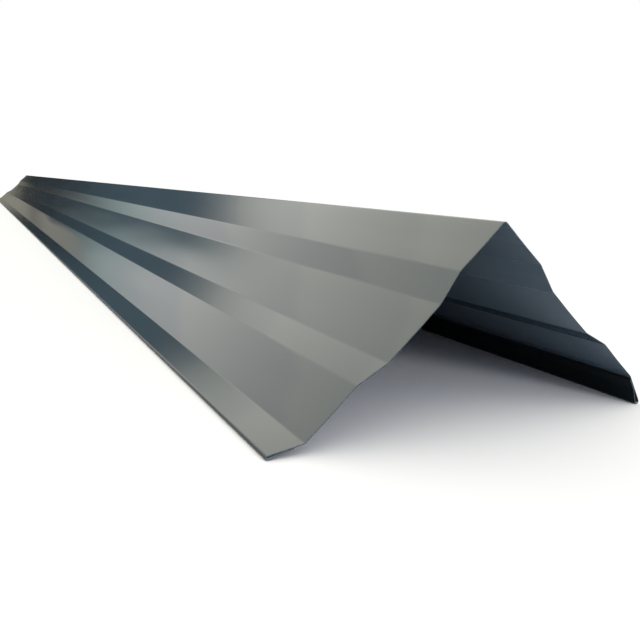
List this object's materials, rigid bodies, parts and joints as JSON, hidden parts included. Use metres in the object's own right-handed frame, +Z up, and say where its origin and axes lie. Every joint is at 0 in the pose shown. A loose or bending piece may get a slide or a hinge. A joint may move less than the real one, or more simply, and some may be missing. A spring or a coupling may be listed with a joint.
{
  "type": "verge flashing",
  "caption": "Long folded steel flashing with a ridge fold, a stiffening swage in each wing, a kicked drip lip and a turned-down lip, both hemmed.",
  "frame": {"origin": "centre of the footprint, at floor level, midway along the length", "axes": "+Y along the ridge, away from the end nearest the picture's camera; +X towards the wing with the turned-down lip; +Z up"},
  "size_m": [0.2576, 3, 0.1104],
  "materials": {
    "painted_sheet": "smooth satin polyester paint, slate grey, on both faces"
  },
  "bodies": {
    "root": {"folded_sheet": "painted_sheet"}
  },
  "joints": []
}
